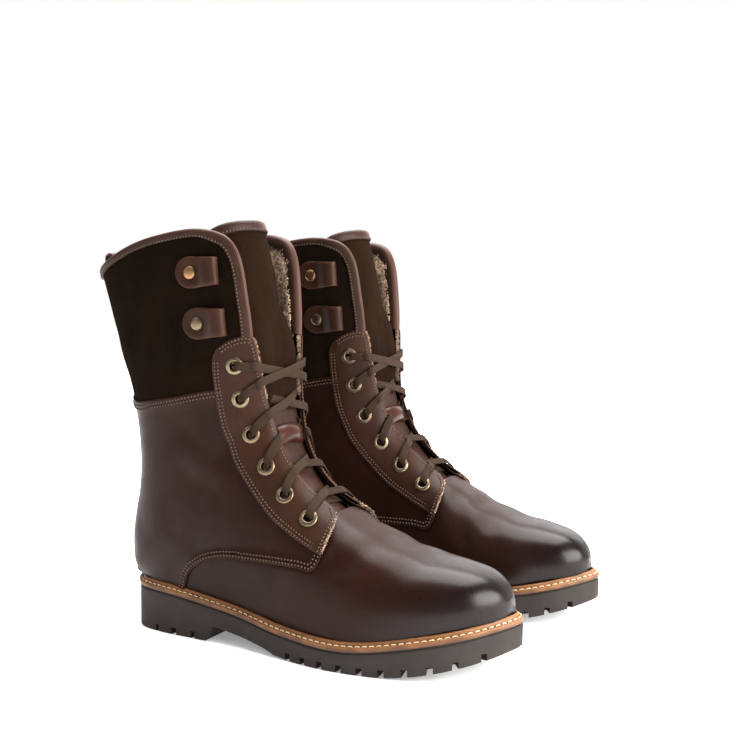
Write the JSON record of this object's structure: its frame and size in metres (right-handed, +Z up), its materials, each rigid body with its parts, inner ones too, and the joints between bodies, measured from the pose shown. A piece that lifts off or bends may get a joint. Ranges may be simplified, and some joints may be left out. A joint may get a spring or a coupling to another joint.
{
  "type": "insulated hunting boots",
  "caption": "Pair of ankle-high lace-up leather hunting boots with fleece lining, suede shaft, padded tongue, riveted lace loops, stitched welt and lugged rubber sole.",
  "frame": {"origin": "on the floor, under the middle of the pair of boots", "axes": "+X toward the toes, +Z up; the right boot stands on the -Y side and the left boot on the +Y side"},
  "size_m": [0.3451, 0.2519, 0.2988],
  "materials": {
    "rubber": "matt dark olive-grey moulded rubber",
    "welt": "tan welt with cream stitches",
    "board": "pressed fibre board",
    "fleece": "short grey-beige fleece",
    "smooth_leather": "smooth dark brown, softly polished",
    "suede": "matt, very dark olive-brown suede",
    "eyestay_leather": "smooth mid brown",
    "antique_brass": "antique brass, brushed",
    "rivet_brass": "warm brass to copper",
    "tongue_leather": "smooth reddish brown",
    "tongue_nubuck": "olive-brown nubuck",
    "binding_leather": "smooth brown with a lighter rolled edge",
    "lace": "flat woven lace, taupe-brown",
    "aglet_plastic": "brown aglet"
  },
  "bodies": {
    "left_boot": {"left_outsole": "rubber", "left_welt": "welt", "left_insole_board": "board", "left_footbed": "fleece", "left_vamp": "smooth_leather", "left_lateral_quarter": "smooth_leather", "left_medial_quarter": "smooth_leather", "left_lateral_cuff": "suede", "left_medial_cuff": "suede", "left_back_strap": "smooth_leather", "left_lateral_eyestay": "eyestay_leather", "left_medial_eyestay": "eyestay_leather", "left_lateral_eyelets": "antique_brass", "left_medial_eyelets": "antique_brass", "left_lateral_upper_loop": "eyestay_leather", "left_lateral_lower_loop": "eyestay_leather", "left_medial_upper_loop": "eyestay_leather", "left_medial_lower_loop": "eyestay_leather", "left_rivets": "rivet_brass", "left_tongue_lower": "tongue_leather", "left_tongue_keeper": "tongue_leather", "left_collar_binding": "binding_leather", "left_lining": "fleece", "left_lace": "lace", "left_lateral_lace_tail": "lace", "left_medial_lace_tail": "lace", "left_aglets": "aglet_plastic"},
    "right_boot": {"right_outsole": "rubber", "right_welt": "welt", "right_insole_board": "board", "right_footbed": "fleece", "right_vamp": "smooth_leather", "right_lateral_quarter": "smooth_leather", "right_medial_quarter": "smooth_leather", "right_lateral_cuff": "suede", "right_medial_cuff": "suede", "right_back_strap": "smooth_leather", "right_lateral_eyestay": "eyestay_leather", "right_medial_eyestay": "eyestay_leather", "right_lateral_eyelets": "antique_brass", "right_medial_eyelets": "antique_brass", "right_lateral_upper_loop": "eyestay_leather", "right_lateral_lower_loop": "eyestay_leather", "right_medial_upper_loop": "eyestay_leather", "right_medial_lower_loop": "eyestay_leather", "right_rivets": "rivet_brass", "right_tongue_lower": "tongue_leather", "right_tongue_keeper": "tongue_leather", "right_collar_binding": "binding_leather", "right_lining": "fleece", "right_lace": "lace", "right_lateral_lace_tail": "lace", "right_medial_lace_tail": "lace", "right_aglets": "aglet_plastic"},
    "left_tongue": {"left_tongue_upper": "tongue_nubuck", "left_tongue_binding": "tongue_leather"},
    "right_tongue": {"right_tongue_upper": "tongue_nubuck", "right_tongue_binding": "tongue_leather"},
    "left_pull_tab": {"left_pull_loop": "suede"},
    "right_pull_tab": {"right_pull_loop": "suede"}
  },
  "joints": [
    {"name": "right_boot_lift", "type": "slide", "parent": "left_boot", "child": "right_boot", "axis": [0, 0, 1], "range_m": [0, 0.15]},
    {"name": "right_tongue_tip", "type": "hinge", "parent": "right_boot", "child": "right_tongue", "pos_m": [-0.0223, -0.072, 0.22], "axis": [0, 1, 0], "range_deg": [0, 20]},
    {"name": "left_tongue_tip", "type": "hinge", "parent": "left_boot", "child": "left_tongue", "pos_m": [-0.00969, 0.07005, 0.22], "axis": [-0.0279, 0.9996, 0], "range_deg": [0, 20]},
    {"name": "right_pull_tab_fold", "type": "hinge", "parent": "right_boot", "child": "right_pull_tab", "pos_m": [-0.1595, -0.072, 0.247], "axis": [0, -1, 0], "range_deg": [0, 60]},
    {"name": "left_pull_tab_fold", "type": "hinge", "parent": "left_boot", "child": "left_pull_tab", "pos_m": [-0.14683, 0.06622, 0.247], "axis": [0.0279, -0.9996, 0], "range_deg": [0, 60]}
  ]
}
